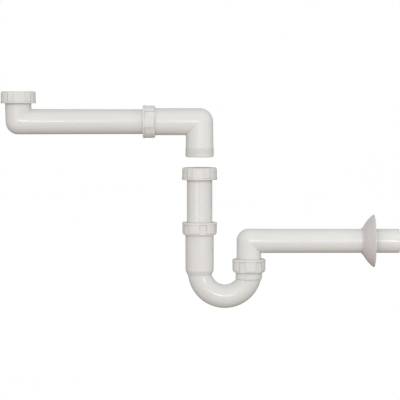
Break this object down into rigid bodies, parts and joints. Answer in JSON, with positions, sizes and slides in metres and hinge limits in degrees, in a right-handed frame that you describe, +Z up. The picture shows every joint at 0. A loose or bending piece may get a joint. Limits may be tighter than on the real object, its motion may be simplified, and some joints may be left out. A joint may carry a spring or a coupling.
{
  "type": "tubular trap",
  "caption": "Offset tubular trap for a sink: side inlet arm with union nut, telescoping dip tube, U-bend water seal, swivelling outlet pipe and sliding wall rosette.",
  "frame": {"origin": "centre of the outlet spigot's free end", "axes": "+X runs along the outlet pipe into the wall, +Z is up, and every pipe axis lies in the XZ plane"},
  "size_m": [0.6614, 0.087, 0.3603],
  "materials": {
    "pipe_plastic": "satin moulded polypropylene",
    "nut_plastic": "moulded polypropylene",
    "rosette_plastic": "matte moulded plastic",
    "seal_rubber": "moulded rubber"
  },
  "bodies": {
    "outlet_pipe": {"outlet_pipe": "pipe_plastic"},
    "wall_rosette": {"wall_rosette": "rosette_plastic"},
    "trap_bend": {"trap_bend": "pipe_plastic", "outlet_seal": "seal_rubber"},
    "outlet_slip_ring": {"outlet_slip_ring": "nut_plastic"},
    "outlet_nut": {"outlet_nut": "nut_plastic"},
    "socket_slip_ring": {"socket_slip_ring": "nut_plastic"},
    "socket_nut": {"socket_nut": "nut_plastic"},
    "dip_seal": {"dip_seal": "seal_rubber"},
    "dip_tube": {"dip_tube": "pipe_plastic", "trap_flat_seal": "seal_rubber"},
    "trap_union_nut": {"trap_union_nut": "nut_plastic"},
    "arm_elbow": {"arm_elbow": "pipe_plastic"},
    "arm_slip_ring": {"arm_slip_ring": "nut_plastic"},
    "arm_nut": {"arm_nut": "nut_plastic"},
    "arm_seal": {"arm_seal": "seal_rubber"},
    "inlet_arm": {"inlet_arm": "pipe_plastic", "inlet_flat_seal": "seal_rubber"},
    "inlet_union_nut": {"inlet_union_nut": "nut_plastic"}
  },
  "joints": [
    {"name": "rosette_slide", "type": "slide", "parent": "outlet_pipe", "child": "wall_rosette", "axis": [1, 0, 0], "range_m": [-0.09, 0.03]},
    {"name": "trap_swivel", "type": "hinge", "parent": "outlet_pipe", "child": "trap_bend", "pos_m": [-0.25, 0, 0], "axis": [0, 0, 1], "range_deg": [-140, 140]},
    {"name": "outlet_ring_lift", "type": "slide", "parent": "trap_bend", "child": "outlet_slip_ring", "axis": [0, 0, 1], "range_m": [0, 0.00695]},
    {"name": "outlet_nut_turn", "type": "hinge", "parent": "outlet_slip_ring", "child": "outlet_nut", "pos_m": [-0.25, 0, 0], "axis": [0, 0, 1], "range_deg": [0, 1080]},
    {"name": "socket_ring_lift", "type": "slide", "parent": "trap_bend", "child": "socket_slip_ring", "axis": [0, 0, 1], "range_m": [0, 0.00695]},
    {"name": "socket_nut_turn", "type": "hinge", "parent": "socket_slip_ring", "child": "socket_nut", "pos_m": [-0.332, 0, 0], "axis": [0, 0, 1], "range_deg": [0, 1080]},
    {"name": "dip_turn", "type": "hinge", "parent": "trap_bend", "child": "dip_seal", "pos_m": [-0.332, 0, 0], "axis": [0, 0, 1], "continuous": true},
    {"name": "dip_slide", "type": "slide", "parent": "dip_seal", "child": "dip_tube", "axis": [0, 0, 1], "range_m": [-0.0375, 0.015]},
    {"name": "union_nut_turn", "type": "hinge", "parent": "dip_tube", "child": "trap_union_nut", "pos_m": [-0.332, 0, 0], "axis": [0, 0, 1], "continuous": true},
    {"name": "arm_seat", "type": "slide", "parent": "dip_tube", "child": "arm_elbow", "axis": [0, 0, 1], "range_m": [-0.0283, 0]},
    {"name": "arm_ring_lift", "type": "slide", "parent": "arm_elbow", "child": "arm_slip_ring", "axis": [-1, 0, 0], "range_m": [0, 0.00695]},
    {"name": "arm_nut_turn", "type": "hinge", "parent": "arm_slip_ring", "child": "arm_nut", "pos_m": [-0.332, 0, 0.1979], "axis": [-1, 0, 0], "range_deg": [0, 1080]},
    {"name": "arm_roll", "type": "hinge", "parent": "arm_elbow", "child": "arm_seal", "pos_m": [-0.332, 0, 0.1979], "axis": [1, 0, 0], "continuous": true},
    {"name": "arm_telescope", "type": "slide", "parent": "arm_seal", "child": "inlet_arm", "axis": [1, 0, 0], "range_m": [-0.03, 0.0175]},
    {"name": "inlet_nut_turn", "type": "hinge", "parent": "inlet_arm", "child": "inlet_union_nut", "pos_m": [-0.632, 0, 0], "axis": [0, 0, 1], "continuous": true}
  ],
  "couplings": [
    {"joint": "outlet_ring_lift", "follows": "outlet_nut_turn", "m_per_rad": 0.00036749},
    {"joint": "socket_ring_lift", "follows": "socket_nut_turn", "m_per_rad": 0.00036749},
    {"joint": "arm_ring_lift", "follows": "arm_nut_turn", "m_per_rad": 0.00036749}
  ]
}
